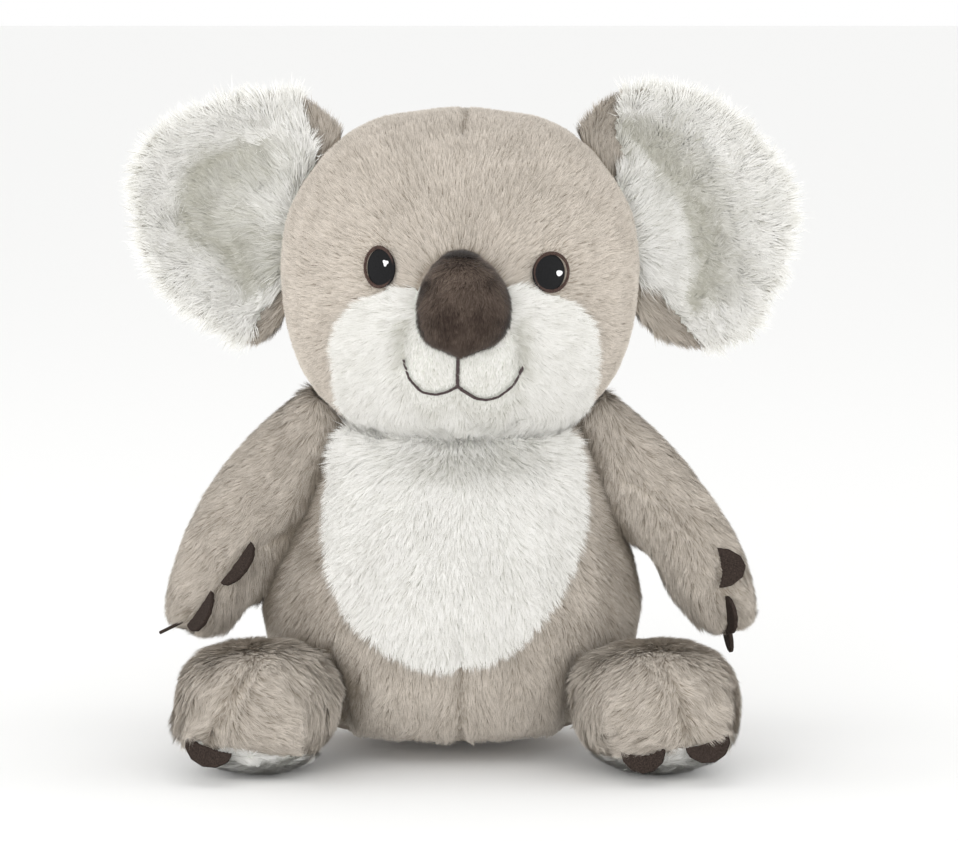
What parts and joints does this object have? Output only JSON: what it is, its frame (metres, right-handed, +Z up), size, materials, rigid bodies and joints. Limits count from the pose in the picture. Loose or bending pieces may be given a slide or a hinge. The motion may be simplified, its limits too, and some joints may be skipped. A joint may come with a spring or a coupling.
{
  "type": "plush koala",
  "caption": "Seated plush koala with big round ears, a stuffed brown nose, a white face and belly, embroidered eyes and felt claws.",
  "frame": {"origin": "middle of the flat of the seat, where it rests on the floor", "axes": "+Z up; the koala faces -Y, and its own left is +X"},
  "size_m": [0.2686, 0.1793, 0.2654],
  "materials": {
    "greige_plush": "long soft pile",
    "white_plush": "long soft pile",
    "brown_short_plush": "short dense pile",
    "brown_felt": "matt felt",
    "eye_thread": "satin stitch",
    "eye_ring_thread": "satin stitch",
    "white_thread": "satin stitch",
    "mouth_thread": "satin stitch",
    "polyester_stuffing": "loose fibre",
    "cotton_lining": "plain weave"
  },
  "bodies": {
    "koala_body": {"body_skin": "greige_plush", "belly_panel": "white_plush", "body_filling": "polyester_stuffing", "seat_pellet_bag": "cotton_lining"},
    "neck": {"neck_filling": "greige_plush"},
    "head": {"head_skin": "greige_plush", "face_panel": "white_plush", "head_filling": "polyester_stuffing", "nose_cover": "brown_short_plush", "nose_filling": "polyester_stuffing", "mouth_stitching": "mouth_thread", "eye_left": "eye_thread", "eye_right": "eye_thread", "eye_ring_left": "eye_ring_thread", "eye_ring_right": "eye_ring_thread", "eye_glint_left": "white_thread", "eye_glint_right": "white_thread"},
    "ear_left": {"ear_front_left": "white_plush", "ear_back_left": "greige_plush", "ear_wadding_left": "polyester_stuffing"},
    "ear_right": {"ear_front_right": "white_plush", "ear_back_right": "greige_plush", "ear_wadding_right": "polyester_stuffing"},
    "arm_left": {"arm_skin_left": "greige_plush", "arm_filling_left": "polyester_stuffing", "paw_claw_left_1": "brown_felt", "paw_claw_left_2": "brown_felt", "paw_claw_left_3": "brown_felt"},
    "arm_right": {"arm_skin_right": "greige_plush", "arm_filling_right": "polyester_stuffing", "paw_claw_right_1": "brown_felt", "paw_claw_right_2": "brown_felt", "paw_claw_right_3": "brown_felt"},
    "leg_left": {"leg_skin_left": "greige_plush", "sole_panel_left": "white_plush", "leg_filling_left": "polyester_stuffing", "foot_claw_left_1": "brown_felt", "foot_claw_left_2": "brown_felt", "foot_claw_left_3": "brown_felt"},
    "leg_right": {"leg_skin_right": "greige_plush", "sole_panel_right": "white_plush", "leg_filling_right": "polyester_stuffing", "foot_claw_right_1": "brown_felt", "foot_claw_right_2": "brown_felt", "foot_claw_right_3": "brown_felt"}
  },
  "joints": [
    {"name": "neck_turn", "type": "hinge", "parent": "koala_body", "child": "neck", "pos_m": [0, 0, 0.118], "axis": [0, 0, 1], "range_deg": [-15, 15], "stiffness_Nm_per_rad": 0.8},
    {"name": "neck_nod", "type": "hinge", "parent": "neck", "child": "head", "pos_m": [0, 0, 0.118], "axis": [1, 0, 0], "range_deg": [-6, 5], "stiffness_Nm_per_rad": 1.2},
    {"name": "ear_fold_left", "type": "hinge", "parent": "head", "child": "ear_left", "pos_m": [0.066, -0.004, 0.212], "axis": [0.2419, 0, -0.9703], "range_deg": [0, 30], "stiffness_Nm_per_rad": 0.02},
    {"name": "ear_fold_right", "type": "hinge", "parent": "head", "child": "ear_right", "pos_m": [-0.066, -0.004, 0.212], "axis": [0.2419, 0, 0.9703], "range_deg": [0, 30], "stiffness_Nm_per_rad": 0.02},
    {"name": "arm_lift_left", "type": "hinge", "parent": "koala_body", "child": "arm_left", "pos_m": [0.0445, -0.002, 0.1385], "axis": [0, -1, 0], "range_deg": [0, 15]},
    {"name": "arm_lift_right", "type": "hinge", "parent": "koala_body", "child": "arm_right", "pos_m": [-0.0445, -0.002, 0.1385], "axis": [0, 1, 0], "range_deg": [0, 15]},
    {"name": "leg_lift_left", "type": "hinge", "parent": "koala_body", "child": "leg_left", "pos_m": [0.076, -0.046, 0.048], "axis": [-1, 0, 0], "range_deg": [0, 30]},
    {"name": "leg_lift_right", "type": "hinge", "parent": "koala_body", "child": "leg_right", "pos_m": [-0.076, -0.046, 0.048], "axis": [-1, 0, 0], "range_deg": [0, 30]}
  ]
}
